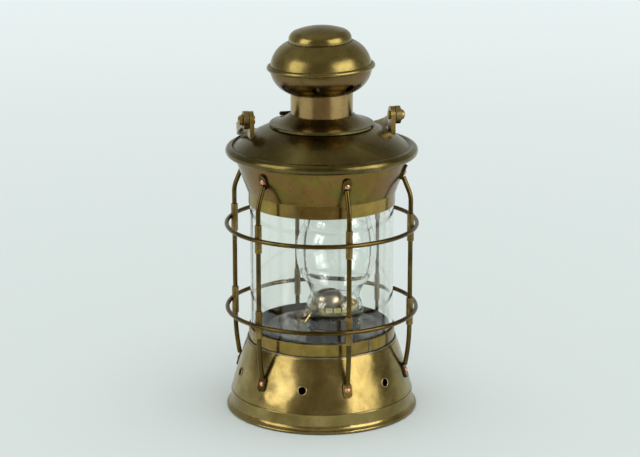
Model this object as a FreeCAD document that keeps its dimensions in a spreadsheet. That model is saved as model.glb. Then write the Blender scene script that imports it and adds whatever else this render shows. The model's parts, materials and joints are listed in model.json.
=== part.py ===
import FreeCAD, Part
import math
import os
import Sketcher

# Ship lantern: a brass hurricane lantern with a round glass, a wire guard, a hinged
# ventilator lid, a folding bail and an oil lamp that drops out through the foot.
# Units are millimetres and degrees. The origin is the centre of the foot, where it
# stands. +Z is up. The bail pivots on a line that is turned a little from X.

SIZES = {
    # sheet brass
    "sheet": 0.8,
    "roof_sheet": 1.0,
    # foot band and base skirt
    "foot_radius": 66.8,
    "foot_roll": 1.0,
    "band_radius": 63.6,
    "band_height": 12.9,
    "band_flare_bend": 3.6,
    "band_flare_height": 5.4,
    "skirt_foot_radius": 63.2,
    "skirt_foot_height": 13.3,
    "skirt_top_radius": 52.6,
    "skirt_top_height": 48.2,
    "skirt_bend": 500.0,
    "air_hole_radius": 2.75,
    "air_hole_height": 28.5,
    # globe glass and what holds it
    "globe_radius": 49.6,
    "globe_wall": 2.0,
    "globe_bottom": 47.6,
    "globe_top": 157.2,
    "lower_collar_radius": 51.0,
    "lower_collar_bottom": 45.5,
    "lower_collar_top": 58.8,
    "seat_bore": 45.4,
    "upper_band_radius": 50.6,
    "upper_band_bottom": 146.2,
    "cone_bottom": 155.7,
    "cone_bottom_radius": 51.3,
    "cone_top": 180.2,
    "cone_top_radius": 60.2,
    # roof
    "throat_radius": 31.5,
    "throat_height": 201.3,
    "dome_bend": 76.0,
    "dome_edge_radius": 53.0,
    "dome_edge_height": 191.3,
    "rim_centre_radius": 62.5,
    "rim_centre_height": 183.3,
    "rim_bend": 3.5,
    # lid: raised disc, neck and ventilator cap
    "disc_radius": 35.9,
    "disc_bottom": 200.6,
    "disc_bend": 26.0,
    "neck_radius": 21.3,
    "neck_bottom": 206.6,
    "neck_top": 231.0,
    "neck_seam": 208.3,
    "bowl_bottom": 223.2,
    "bowl_radius": 34.8,
    "bowl_top": 239.2,
    "bowl_bend": 19.5,
    "vent_radius": 2.8,
    "vent_height": 229.6,
    "vent_turn": 21.0,
    "seam_radius": 35.2,
    "seam_height": 241.0,
    "seam_wire": 1.7,
    "cap_dome_radius": 34.5,
    "cap_dome_bottom": 242.6,
    "cap_dome_top_radius": 22.0,
    "cap_dome_top": 258.2,
    "cap_dome_bend": 19.5,
    "button_radius": 21.5,
    "button_shoulder": 259.3,
    "button_shoulder_bend": 6.7,
    "button_crown_radius": 17.1,
    "button_crown_height": 265.6,
    "button_crown_bend": 50.0,
    "crown_flat": 0.8,
    "top_height": 268.6,
    "cap_tilt": -1.8,
    # lid hinge, on a chord of the raised disc
    "hinge_distance": 28.0,
    "hinge_height": 203.9,
    "hinge_pin_radius": 0.8,
    "hinge_barrel_radius": 1.4,
    "hinge_half_width": 21.5,
    "hinge_middle_half_width": 7.0,
    "hinge_strap_half_width": 3.4,
    "hinge_gap": 0.4,
    "chord_gap_front": 1.9,
    "chord_gap_back": 2.6,
    # bail, its lugs and its pins
    "bail_pivot_height": 205.5,
    "bail_eye_distance": 52.6,
    "bail_leg": 33.0,
    "bail_strip_width": 7.0,
    "bail_strip_thickness": 3.0,
    "bail_eye_radius": 6.2,
    "bail_eye_thickness": 3.4,
    "bail_pin_radius": 2.0,
    "bail_pin_play": 0.05,
    "bail_rest_angle": 20.0,
    "bail_turn": -7.0,
    "lug_distance": 48.8,
    "lug_half_thickness": 1.5,
    "lug_top_radius": 6.0,
    "lug_width": 12.0,
    "lug_foot_inner": 194.8,
    "lug_foot_outer": 193.1,
    # wire guard
    "guard_bar_radius": 1.65,
    "guard_bar_distance": 62.4,
    "guard_first_angle": 30.0,
    "guard_ring_distance": 65.7,
    "guard_ring_wire": 1.5,
    "guard_ring_low": 71.7,
    "guard_ring_high": 131.7,
    "clip_radius": 2.35,
    "clip_length": 19.0,
    "clip_play": 0.02,
    "bar_eye_thickness": 1.3,
    "bar_eye_radius": 3.1,
    "bar_eye_flat": 3.0,
    "bar_foot": 32.5,
    "bar_foot_distance": 59.5,
    "bar_low_bend": 151.6,
    "bar_low_straight": 62.0,
    "bar_high_straight": 150.0,
    "bar_high_bend": 19.9,
    "bar_knee_distance": 60.9,
    "bar_knee_height": 157.6,
    "bar_end_distance": 57.1,
    "bar_end_height": 166.8,
    "rivet_radius": 1.9,
    "rivet_height": 1.1,
    # oil font
    "font_x": 2.4,
    "font_y": -0.7,
    "font_radius": 41.2,
    "font_bottom": 4.4,
    "font_top": 57.2,
    "font_hole_radius": 13.7,
    "plate_radius": 61.2,
    "plate_bottom": 3.4,
    "plate_rim": 5.0,
    "plate_hole_distance": 53.0,
    "plate_hole_radius": 3.5,
    "spring_bottom": 4.2,
    "spring_length": 3.4,
    # burner, off the lantern's centre line
    "burner_x": 8.4,
    "burner_y": -2.5,
    "burner_turn": 10.0,
    "collar_bore": 15.6,
    "collar_radius": 18.6,
    "collar_top": 58.9,
    "drum_radius": 16.8,
    "drum_top": 67.2,
    "drum_hole_height": 63.9,
    "drum_hole_radius": 0.8,
    "burner_sheet": 0.6,
    "gallery_rim": 3.0,
    "gallery_radius": 20.3,
    "prong_radius": 16.6,
    "prong_top": 74.3,
    "gallery_slot_half": 7.2,
    "cone_shift": 4.3,
    "burner_cone_radius": 10.7,
    "burner_cone_shoulder": 76.5,
    "burner_cone_bend": 7.7,
    "burner_cone_flat": 3.1,
    "burner_cone_top": 84.2,
    "flame_slot_length": 15.0,
    "flame_slot_width": 4.6,
    "wick_width": 12.0,
    "wick_thickness": 1.6,
    "wick_bottom": 32.0,
    "wick_top": 82.0,
    "wick_play": 0.4,
    "wick_tube_bottom": 63.6,
    "wick_tube_top": 79.5,
    # wick winder
    "winder_side": 3.7,
    "winder_rise": 38.0,
    "winder_height": 48.8,
    "winder_hole_height": 61.35,
    "winder_hole_radius": 2.0,
    "sleeve_radius": 1.6,
    "sleeve_from": 21.9,
    "sleeve_to": 27.0,
    "shaft_from": 0.6,
    "sprocket_from": 2.2,
    "sprocket_to": 6.8,
    "winder_shaft_radius": 1.0,
    "winder_play": 0.06,
    "winder_wheel_radius": 3.3,
    "winder_wheel_from": 33.0,
    "winder_wheel_thickness": 1.5,
    "sprocket_radius": 2.6,
    # chimney glass
    "chimney_foot": 68.8,
    "chimney_foot_radius": 19.2,
    "chimney_waist_radius": 17.0,
    "chimney_bulge_radius": 24.7,
    "chimney_tube_radius": 14.6,
    "chimney_wall": 1.5,
    "chimney_height": 118.0,
    "chimney_foot_height": 4.6,
    "chimney_waist_height": 9.8,
    "chimney_bulge_low": 23.5,
    "chimney_bulge_high": 61.0,
    "chimney_neck_low": 78.0,
    "chimney_neck_high": 92.0,
    "foot_bend": 9.0,
    "waist_bend": 22.0,
    "bulge_bend": 40.0,
    "shoulder_bend": 30.0,
    "neck_bend": 45.0,
    "chimney_tilt": 2.0,
}

# The cap and the chimney lean about this level direction.
LEAN_AXIS = FreeCAD.Vector(0.292, 0.956, 0)

DOC = FreeCAD.newDocument("ship_lantern")
SHEET = DOC.addObject("Spreadsheet::Sheet", "Sizes")
PARTS = []


def fill_sheet():
    """Write every driving size into the spreadsheet, each under its own alias."""
    for row, (name, size) in enumerate(SIZES.items(), start=1):
        SHEET.set("A%d" % row, name)
        SHEET.set("B%d" % row, str(size))
        SHEET.setAlias("B%d" % row, name)
    DOC.recompute()


def expression(words):
    """The sheet expression of a sum, such as "globe_radius - globe_wall"."""
    return " ".join("Sizes." + word if word in SIZES else word for word in words.split())


def amount(words):
    """The number that the same sum comes to."""
    total = 0.0
    sign = 1.0
    for word in words.split():
        if word in ("+", "-"):
            sign = 1.0 if word == "+" else -1.0
        else:
            total += sign * SIZES[word] if word in SIZES else sign * float(word)
    return total


def new_body(label, placement=None):
    """An empty body that becomes one node."""
    body = DOC.addObject("PartDesign::Body", label)
    body.Label = label
    body.AllowCompound = True
    if placement is not None:
        body.Placement = placement
    PARTS.append(body)
    return body


def origin_feature(body, role):
    """One of a body's own origin planes or axes."""
    return [item for item in body.Origin.OriginFeatures if item.Role == role][0]


def new_sketch(body, name, role, offset=None):
    """A sketch on one of the body's origin planes, shifted by offset."""
    sketch = body.newObject("Sketcher::SketchObject", name)
    sketch.AttachmentSupport = [(origin_feature(body, role), "")]
    sketch.MapMode = "FlatFace"
    if offset is not None:
        sketch.AttachmentOffset = offset
    return sketch


def fix_point(sketch, curve, end, across, up):
    """Bind one end of a sketch curve to two sums of sheet sizes."""
    for kind, words, axis in (("DistanceX", across, -2), ("DistanceY", up, -1)):
        if words == "0":
            sketch.addConstraint(Sketcher.Constraint("PointOnObject", curve, end, axis))
        else:
            rule = Sketcher.Constraint(kind, curve, end, amount(words))
            index = sketch.addConstraint(rule)
            sketch.setExpression("Constraints[%d]" % index, expression(words))


def arc_between(start, finish, radius, side):
    """The shorter arc from start to finish; side 1 bulges to the right, -1 to the left."""
    chord = finish - start
    left = FreeCAD.Vector(-chord.y, chord.x, 0) / chord.Length
    depth = math.sqrt(max(radius ** 2 - chord.Length ** 2 / 4, 0.0))
    centre = (start + finish) / 2 + left * depth * side
    first = math.atan2(start.y - centre.y, start.x - centre.x)
    last = math.atan2(finish.y - centre.y, finish.x - centre.x)
    if side < 0:
        first, last = last, first
    if last < first:
        last += 2 * math.pi
    circle = Part.Circle(centre, FreeCAD.Vector(0, 0, 1), radius)
    return Part.ArcOfCircle(circle, first, last)


def draw(sketch, corners, closed=True):
    """Join corners with lines and arcs.

    A corner is (across, up) or (across, up, bend, side), where bend is the radius of the
    arc that leads on to the next corner.
    """
    count = len(corners)
    last = count if closed else count - 1
    ends = []
    for index in range(last):
        corner = corners[index]
        following = corners[(index + 1) % count]
        start = FreeCAD.Vector(amount(corner[0]), amount(corner[1]), 0)
        finish = FreeCAD.Vector(amount(following[0]), amount(following[1]), 0)
        if len(corner) == 2:
            curve = sketch.addGeometry(Part.LineSegment(start, finish))
            ends.append((curve, 1, 2))
        else:
            bend, side = corner[2:]
            arc = arc_between(start, finish, amount(bend), side)
            curve = sketch.addGeometry(arc)
            ends.append((curve, 1, 2) if side > 0 else (curve, 2, 1))
            rule = sketch.addConstraint(Sketcher.Constraint("Radius", curve, amount(bend)))
            sketch.setExpression("Constraints[%d]" % rule, expression(bend))
        fix_point(sketch, curve, ends[-1][1], corner[0], corner[1])
    for index in range(last if closed else last - 1):
        before = ends[index]
        after = ends[(index + 1) % len(ends)]
        rule = Sketcher.Constraint("Coincident", before[0], before[2], after[0], after[1])
        sketch.addConstraint(rule)
    if not closed:
        fix_point(sketch, ends[-1][0], ends[-1][2], corners[-1][0], corners[-1][1])


def draw_circle(sketch, across, up, radius):
    """A full circle with its centre and radius bound to the sheet."""
    centre = FreeCAD.Vector(amount(across), amount(up), 0)
    circle = Part.Circle(centre, FreeCAD.Vector(0, 0, 1), amount(radius))
    curve = sketch.addGeometry(circle)
    fix_point(sketch, curve, 3, across, up)
    rule = sketch.addConstraint(Sketcher.Constraint("Radius", curve, amount(radius)))
    sketch.setExpression("Constraints[%d]" % rule, expression(radius))


def draw_box(sketch, left, right, low, high):
    """An upright rectangle."""
    draw(sketch, [(left, low), (right, low), (right, high), (left, high)])


def revolve(body, sketch, axis="V_Axis"):
    """A full turn of the sketch about one of its own axes."""
    feature = body.newObject("PartDesign::Revolution", sketch.Name + "_turn")
    feature.Profile = sketch
    feature.ReferenceAxis = (sketch, [axis])
    feature.Angle = 360
    sketch.Visibility = False
    return feature


def groove(body, sketch):
    """A full turn of the sketch about the upright axis, cut away."""
    feature = body.newObject("PartDesign::Groove", sketch.Name + "_cut")
    feature.Profile = sketch
    feature.ReferenceAxis = (sketch, ["V_Axis"])
    feature.Angle = 360
    return feature


def pad(body, sketch, length, midplane=False):
    """A straight pad along the sketch's normal."""
    feature = body.newObject("PartDesign::Pad", sketch.Name + "_pad")
    feature.Profile = sketch
    feature.Length = amount(length)
    feature.setExpression("Length", expression(length))
    feature.Midplane = midplane
    return feature


def pocket_through(body, sketch):
    """A pocket right through the body, both ways from the sketch."""
    DOC.recompute()
    before = body.Shape.Volume
    feature = body.newObject("PartDesign::Pocket", sketch.Name + "_cut")
    feature.Profile = sketch
    feature.Type = "ThroughAll"
    feature.Midplane = True
    DOC.recompute()
    if body.Shape.Volume >= before:
        raise RuntimeError("%s cuts nothing" % feature.Name)
    return feature


def polar(body, originals, count):
    """Repeat features round the body's upright axis."""
    feature = body.newObject("PartDesign::PolarPattern", originals[0].Name + "_ring")
    feature.Originals = originals
    feature.Axis = (origin_feature(body, "Z_Axis"), [""])
    feature.Angle = 360
    feature.Occurrences = count
    body.Tip = feature
    return feature


def turned(label, corners, placement=None):
    """A piece of revolution from one closed outline of (radius, height) corners."""
    body = new_body(label, placement)
    sketch = new_sketch(body, label + "_profile", "XZ_Plane")
    draw(sketch, corners)
    revolve(body, sketch)
    return body


def turn_about_z(angle):
    return FreeCAD.Rotation(FreeCAD.Vector(0, 0, 1), angle)


def level(height):
    """Sketch offset that lifts a sketch off its plane."""
    return FreeCAD.Placement(FreeCAD.Vector(0, 0, height), FreeCAD.Rotation())


# ---------------------------------------------------------------- base and globe


def foot_band():
    """Rolled foot: a plain band that flares to a wired edge."""
    turned("foot_band", [
        ("foot_radius - 2.6", "0"),
        ("foot_radius - foot_roll", "0", "foot_roll", 1),
        ("foot_radius - 0.5", "1.87"),
        ("foot_radius - 0.9", "2.1", "band_flare_bend", -1),
        ("band_radius + 0.15", "band_flare_height"),
        ("band_radius", "band_height - 0.5"),
        ("band_radius - 0.4", "band_height"),
        ("band_radius - sheet", "band_height"),
        ("band_radius - 0.6", "band_flare_height", "band_flare_bend", 1),
        ("foot_radius - 2.4", "1.7"),
    ])


def base_skirt():
    """Conical base with a ring of air holes; its lower edge slips inside the foot band."""
    body = turned("base_skirt", [
        ("lower_collar_radius + 0.05", "skirt_top_height + 1.7"),
        ("lower_collar_radius + 0.05", "skirt_top_height + 0.3"),
        ("skirt_top_radius - sheet", "skirt_top_height - 0.8", "skirt_bend", -1),
        ("skirt_foot_radius - 1.3", "skirt_foot_height"),
        ("skirt_foot_radius - 1.3", "9"),
        ("band_radius - sheet - 0.1", "9"),
        ("band_radius - sheet - 0.1", "band_height"),
        ("skirt_foot_radius", "skirt_foot_height", "skirt_bend", 1),
        ("skirt_top_radius", "skirt_top_height"),
        ("skirt_top_radius - 0.8", "skirt_top_height + 1.5"),
    ])
    sketch = new_sketch(body, "air_hole", "YZ_Plane")
    draw_circle(sketch, "0", "air_hole_height", "air_hole_radius")
    hole = pocket_through(body, sketch)
    polar(body, [hole], 3)


def lower_glass_collar():
    """Short collar that the globe stands in."""
    turned("lower_glass_collar", [
        ("lower_collar_radius - sheet", "lower_collar_bottom"),
        ("lower_collar_radius", "lower_collar_bottom"),
        ("lower_collar_radius", "lower_collar_top - 0.4"),
        ("lower_collar_radius - 0.4", "lower_collar_top"),
        ("lower_collar_radius - sheet", "lower_collar_top"),
    ])


def glass_seat_ring():
    """Ledge inside the lower collar that carries the globe; its bore passes the font."""
    turned("glass_seat_ring", [
        ("seat_bore", "globe_bottom - 4.2"),
        ("seat_bore + sheet", "globe_bottom - 4.2"),
        ("seat_bore + sheet", "globe_bottom - 1.1"),
        ("lower_collar_radius - sheet", "globe_bottom - 1.1"),
        ("lower_collar_radius - sheet", "globe_bottom - 0.1"),
        ("seat_bore", "globe_bottom - 0.1"),
    ])


def globe_glass():
    """Straight glass with fire-polished ends."""
    turned("globe_glass", [
        ("globe_radius - globe_wall", "globe_bottom + 0.7"),
        ("globe_radius - globe_wall + 0.7", "globe_bottom"),
        ("globe_radius - 0.7", "globe_bottom"),
        ("globe_radius", "globe_bottom + 0.7"),
        ("globe_radius", "globe_top - 0.7"),
        ("globe_radius - 0.7", "globe_top"),
        ("globe_radius - globe_wall + 0.7", "globe_top"),
        ("globe_radius - globe_wall", "globe_top - 0.7"),
    ])


def upper_glass_band():
    """Band round the top of the globe."""
    turned("upper_glass_band", [
        ("upper_band_radius - 0.7", "upper_band_bottom + 0.3"),
        ("upper_band_radius - 0.4", "upper_band_bottom"),
        ("upper_band_radius", "upper_band_bottom + 0.3"),
        ("upper_band_radius", "globe_top + 0.3"),
        ("upper_band_radius - 0.7", "globe_top + 0.3"),
    ])


def glass_top_ring():
    """Keeper that holds the globe down."""
    turned("glass_top_ring", [
        ("globe_radius - globe_wall - 1.1", "globe_top + 0.3"),
        ("upper_band_radius", "globe_top + 0.3"),
        ("upper_band_radius", "globe_top + 1.1"),
        ("globe_radius - globe_wall - 1.1", "globe_top + 1.1"),
    ])


def cone_collar():
    """Flared collar between the globe band and the roof."""
    turned("cone_collar", [
        ("cone_bottom_radius - 0.65", "cone_bottom"),
        ("cone_bottom_radius", "cone_bottom - 0.1"),
        ("cone_top_radius", "cone_top"),
        ("cone_top_radius + 2.1", "cone_top + 0.9"),
        ("cone_top_radius + 2.1", "cone_top + 1.7"),
        ("cone_top_radius - 0.6", "cone_top + 0.9"),
    ])


# ---------------------------------------------------------------- roof


def on_rim(angle, inset):
    """A corner on the rolled rim at an angle from level, inset from its outside."""
    reach = SIZES["rim_bend"] - inset
    across = reach * math.cos(math.radians(angle))
    up = reach * math.sin(math.radians(angle))
    return ("rim_centre_radius + %.3f" % across, "rim_centre_height + %.3f" % up)


def roof():
    """Domed roof with an open throat and a rolled rim."""
    valley = 130
    turned("roof", [
        ("throat_radius", "throat_height - roof_sheet"),
        ("dome_edge_radius - 0.6", "dome_edge_height - 0.9"),
        on_rim(valley, SIZES["roof_sheet"]) + ("rim_bend - roof_sheet", -1),
        on_rim(0, SIZES["roof_sheet"]) + ("rim_bend - roof_sheet", -1),
        on_rim(-90, SIZES["roof_sheet"]),
        on_rim(-90, 0) + ("rim_bend", 1),
        on_rim(0, 0) + ("rim_bend", 1),
        on_rim(valley, 0),
        ("dome_edge_radius", "dome_edge_height", "dome_bend", 1),
        ("throat_radius", "throat_height"),
    ])


def raised_disc(label, low, high):
    """The raised disc round the throat, kept only between two distances along Y."""
    body = turned(label, [
        ("disc_radius - sheet", "disc_bottom"),
        ("disc_radius", "disc_bottom"),
        ("disc_radius", "disc_bottom + 1.2"),
        ("disc_radius - 0.6", "disc_bottom + 1.8", "disc_bend", -1),
        ("neck_radius + 0.75", "neck_seam"),
        ("neck_radius + 0.05", "neck_seam"),
        ("neck_radius + 0.05", "neck_seam - 0.8", "disc_bend", 1),
        ("disc_radius - 1.1", "disc_bottom + 1"),
    ])
    sketch = new_sketch(body, label + "_chord", "XY_Plane")
    draw_box(sketch, "- 50", "50", low, high)
    pocket_through(body, sketch)


def neck_tube():
    turned("neck_tube", [
        ("neck_radius - sheet", "neck_bottom"),
        ("neck_radius", "neck_bottom"),
        ("neck_radius", "neck_top"),
        ("neck_radius - sheet", "neck_top"),
    ])


def cap_placement():
    """The cap has been knocked, so it leans about a level axis through its lower edge."""
    pivot = FreeCAD.Vector(0, 0, SIZES["bowl_bottom"])
    lean = FreeCAD.Rotation(LEAN_AXIS, SIZES["cap_tilt"])
    return FreeCAD.Placement(FreeCAD.Vector(), lean, pivot)


def cap_bowl():
    """Lower half of the ventilator, pierced by a ring of vents."""
    turn = FreeCAD.Placement(FreeCAD.Vector(), turn_about_z(SIZES["vent_turn"]))
    body = turned("cap_bowl", [
        ("neck_radius + 0.06", "bowl_bottom", "bowl_bend", 1),
        ("bowl_radius", "bowl_top"),
        ("bowl_radius - sheet", "bowl_top", "bowl_bend", -1),
        ("neck_radius + 0.06", "bowl_bottom + 0.9"),
    ], cap_placement().multiply(turn))
    sketch = new_sketch(body, "vent", "YZ_Plane")
    draw_circle(sketch, "0", "vent_height", "vent_radius")
    hole = pocket_through(body, sketch)
    polar(body, [hole], 8)


def wire_ring(label, radius, height, wire, placement=None):
    """A closed round ring of wire."""
    body = new_body(label, placement)
    sketch = new_sketch(body, label + "_section", "XZ_Plane")
    draw_circle(sketch, radius, height, wire)
    revolve(body, sketch)


def cap_dome():
    turned("cap_dome", [
        ("cap_dome_radius - sheet", "cap_dome_bottom"),
        ("cap_dome_radius", "cap_dome_bottom", "cap_dome_bend", 1),
        ("cap_dome_top_radius", "cap_dome_top"),
        ("cap_dome_top_radius - 0.5", "cap_dome_top - sheet", "cap_dome_bend", -1),
    ], cap_placement())


def cap_button():
    """Domed top that closes the ventilator."""
    turned("cap_button", [
        ("cap_dome_top_radius - 1.6", "cap_dome_top + 0.1"),
        ("button_radius", "cap_dome_top + 0.1"),
        ("button_radius", "button_shoulder", "button_shoulder_bend", 1),
        ("button_crown_radius", "button_crown_height", "button_crown_bend", 1),
        ("crown_flat", "top_height"),
        ("0", "top_height"),
        ("0", "top_height - sheet"),
        ("crown_flat", "top_height - sheet", "button_crown_bend", -1),
        ("button_crown_radius - 0.3", "button_crown_height - sheet", "button_shoulder_bend", -1),
        ("button_radius - sheet", "button_shoulder"),
        ("button_radius - sheet", "cap_dome_top + 0.9"),
        ("cap_dome_top_radius - 1.6", "cap_dome_top + 0.9"),
    ], cap_placement())


# ---------------------------------------------------------------- lid hinge


def hinge_leaf(label, knuckles, straps, strap_corners):
    """One leaf of the lid hinge: barrels on the chord and straps that lie on the disc.

    knuckles and straps are (from, to) distances along X.
    """
    body = new_body(label)
    for index, (first, last) in enumerate(straps):
        strap = new_sketch(body, "%s_strap%d" % (label, index), "YZ_Plane", level(first))
        draw(strap, strap_corners)
        pad(body, strap, "%.3f" % (last - first))
    for index, (first, last) in enumerate(knuckles):
        barrel = new_sketch(body, "%s_barrel%d" % (label, index), "YZ_Plane", level(first))
        draw_circle(barrel, "hinge_distance", "hinge_height", "hinge_barrel_radius")
        pad(body, barrel, "%.3f" % (last - first))
    bore = new_sketch(body, label + "_bore", "YZ_Plane")
    draw_circle(bore, "hinge_distance", "hinge_height", "hinge_pin_radius + 0.05")
    pocket_through(body, bore)


def lid_hinge():
    """Fixed leaf behind the chord, the lid's leaf in front of it, and the pin."""
    half = SIZES["hinge_half_width"]
    middle = SIZES["hinge_middle_half_width"]
    strap = SIZES["hinge_strap_half_width"]
    near = middle + 0.3
    hinge_leaf("roof_hinge_leaf", [(-half, -near), (near, half)],
               [(-near - 2 * strap, -near), (near, near + 2 * strap)], [
        ("hinge_distance + hinge_gap", "hinge_height - 0.6"),
        ("hinge_distance + 4.6", "hinge_height - 1.2"),
        ("hinge_distance + 4.6", "hinge_height - 0.2"),
        ("hinge_distance + hinge_gap", "hinge_height + 1.1"),
    ])
    hinge_leaf("lid_hinge_leaf", [(-middle, middle)], [(-strap, strap)], [
        ("hinge_distance - 4.6", "hinge_height + 3.2"),
        ("hinge_distance - hinge_gap", "hinge_height + 0.8"),
        ("hinge_distance - hinge_gap", "hinge_height + 2"),
        ("hinge_distance - 4.6", "hinge_height + 4.2"),
    ])
    body = new_body("lid_hinge_pin")
    sketch = new_sketch(body, "hinge_pin_section", "YZ_Plane", level(-half - 0.5))
    draw_circle(sketch, "hinge_distance", "hinge_height", "hinge_pin_radius")
    pad(body, sketch, "hinge_half_width + hinge_half_width + 1")


# ---------------------------------------------------------------- bail


def bail_handle():
    """Flat strip bent to an arch, with a round eye at each end, folded back on the rim."""
    fold = FreeCAD.Rotation(FreeCAD.Vector(1, 0, 0), -SIZES["bail_rest_angle"])
    pivot = FreeCAD.Vector(0, 0, SIZES["bail_pivot_height"])
    turn = turn_about_z(SIZES["bail_turn"])
    body = new_body("bail_handle", FreeCAD.Placement(pivot, turn.multiply(fold)))
    spine = new_sketch(body, "bail_spine", "XY_Plane")
    draw(spine, [
        ("bail_eye_distance", "0"),
        ("bail_eye_distance", "bail_leg", "bail_eye_distance", 1),
        ("0", "bail_leg + bail_eye_distance", "bail_eye_distance", 1),
        ("0 - bail_eye_distance", "bail_leg"),
        ("0 - bail_eye_distance", "0"),
    ], closed=False)
    section = new_sketch(body, "bail_section", "XZ_Plane")
    half_width = "%.3f" % (SIZES["bail_strip_width"] / 2)
    half_thick = "%.3f" % (SIZES["bail_strip_thickness"] / 2)
    draw_box(section, "bail_eye_distance - " + half_thick, "bail_eye_distance + " + half_thick,
             "0 - " + half_width, half_width)
    pipe = body.newObject("PartDesign::AdditivePipe", "bail_strip")
    pipe.Profile = section
    pipe.Spine = (spine, [])
    DOC.recompute()
    for side in (-1, 1):
        middle = side * SIZES["bail_eye_distance"]
        start = middle - SIZES["bail_eye_thickness"] / 2
        name = "bail_eye_left" if side < 0 else "bail_eye_right"
        eye = new_sketch(body, name, "YZ_Plane", level(start))
        draw_circle(eye, "0", "0", "bail_eye_radius")
        pad(body, eye, "bail_eye_thickness")
    bore = new_sketch(body, "bail_bore", "YZ_Plane")
    draw_circle(bore, "0", "0", "bail_pin_radius + bail_pin_play")
    pocket_through(body, bore)


def side_placement(side):
    """The bail's line on the right, and half a turn about Z from it on the left."""
    turn = SIZES["bail_turn"] + (0 if side > 0 else 180)
    return FreeCAD.Placement(FreeCAD.Vector(), turn_about_z(turn))


def bail_lug(label, side):
    """Upright ear with a rounded top, soldered by its lower edge to the roof's dome."""
    body = new_body(label, side_placement(side))
    inner = "lug_distance - lug_half_thickness"
    outer = "lug_distance + lug_half_thickness"
    profile = new_sketch(body, label + "_profile", "XZ_Plane")
    draw(profile, [
        (inner, "lug_foot_inner"),
        (outer, "lug_foot_outer"),
        (outer, "bail_pivot_height + lug_top_radius"),
        (inner, "bail_pivot_height + lug_top_radius"),
    ])
    pad(body, profile, "lug_width", midplane=True)
    for end in (-1, 1):
        corner = new_sketch(body, "%s_round%d" % (label, end + 1), "YZ_Plane")
        edge = "6.5" if end > 0 else "0 - 6.5"
        draw(corner, [
            ("0", "bail_pivot_height + lug_top_radius", "lug_top_radius", 1 if end < 0 else -1),
            ("lug_top_radius" if end > 0 else "0 - lug_top_radius", "bail_pivot_height"),
            (edge, "bail_pivot_height"),
            (edge, "bail_pivot_height + 7"),
            ("0", "bail_pivot_height + 7"),
        ])
        pocket_through(body, corner)
    bore = new_sketch(body, label + "_bore", "YZ_Plane")
    draw_circle(bore, "0", "bail_pivot_height", "bail_pin_radius")
    pocket_through(body, bore)


def bail_pin(label, side):
    """Headed pin that the bail's eye turns on."""
    pivot = FreeCAD.Vector(0, 0, SIZES["bail_pivot_height"])
    body = new_body(label, FreeCAD.Placement(pivot, side_placement(side).Rotation))
    sketch = new_sketch(body, label + "_profile", "XZ_Plane")
    draw(sketch, [
        ("lug_distance - 3", "0"),
        ("lug_distance - 2.6", "2.8"),
        ("lug_distance - 1.5", "3.1"),
        ("lug_distance - 1.5", "bail_pin_radius"),
        ("lug_distance + 6.7", "bail_pin_radius"),
        ("lug_distance + 6.7", "3.4"),
        ("lug_distance + 8", "3.2"),
        ("lug_distance + 8.9", "1.9"),
        ("lug_distance + 9.1", "0"),
    ])
    revolve(body, sketch, "H_Axis")


def bail_washer(label, side):
    """Washer between the bail's eye and the pin's head."""
    pivot = FreeCAD.Vector(0, 0, SIZES["bail_pivot_height"])
    body = new_body(label, FreeCAD.Placement(pivot, side_placement(side).Rotation))
    sketch = new_sketch(body, label + "_profile", "XZ_Plane")
    draw_box(sketch, "lug_distance + 5.8", "lug_distance + 6.7", "bail_pin_radius", "4")
    revolve(body, sketch, "H_Axis")


# ---------------------------------------------------------------- wire guard


def facing(distance, height, lean):
    """Sketch offset on YZ for a plane that faces outward, leaning up by lean degrees."""
    turn = FreeCAD.Rotation(FreeCAD.Vector(1, 0, 0), -lean)
    return FreeCAD.Placement(FreeCAD.Vector(0, height, distance), turn)


def along(distance, height, lean):
    """Sketch offset on XZ whose X runs outward, leaning up by lean degrees."""
    turn = FreeCAD.Rotation(FreeCAD.Vector(0, 0, 1), lean)
    return FreeCAD.Placement(FreeCAD.Vector(distance, height, 0), turn)


# Where the bars' eyes lie: distance, height and lean of the skirt and of the cone collar.
LOWER_EYE = (59.03, 28.5, 16.85)
UPPER_EYE = (56.72, 170.4, -19.9)


def guard_bar(number):
    """Upright bar with a flattened eye at each end, riveted to the skirt and the cone."""
    label = "guard_bar_%d" % number
    angle = SIZES["guard_first_angle"] + 60 * (number - 1)
    body = new_body(label, FreeCAD.Placement(FreeCAD.Vector(), turn_about_z(angle)))
    spine = new_sketch(body, label + "_spine", "XZ_Plane")
    draw(spine, [
        ("bar_foot_distance", "bar_foot", "bar_low_bend", 1),
        ("guard_bar_distance", "bar_low_straight"),
        ("guard_bar_distance", "bar_high_straight", "bar_high_bend", 1),
        ("bar_knee_distance", "bar_knee_height"),
        ("bar_end_distance", "bar_end_height"),
    ], closed=False)
    section = new_sketch(body, label + "_section", "XY_Plane", level(SIZES["bar_foot"]))
    draw_circle(section, "bar_foot_distance", "0", "guard_bar_radius")
    pipe = body.newObject("PartDesign::AdditivePipe", label + "_wire")
    pipe.Profile = section
    pipe.Spine = (spine, [])
    for name, place in (("low", LOWER_EYE), ("high", UPPER_EYE)):
        eye = new_sketch(body, "%s_eye_%s" % (label, name), "YZ_Plane", facing(*place))
        draw(eye, [
            ("bar_eye_radius", "0 - bar_eye_flat"),
            ("bar_eye_radius", "bar_eye_flat", "bar_eye_radius + 0.05", 1),
            ("0 - bar_eye_radius", "bar_eye_flat"),
            ("0 - bar_eye_radius", "0 - bar_eye_flat", "bar_eye_radius + 0.05", 1),
        ])
        pad(body, eye, "bar_eye_thickness")


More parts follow.
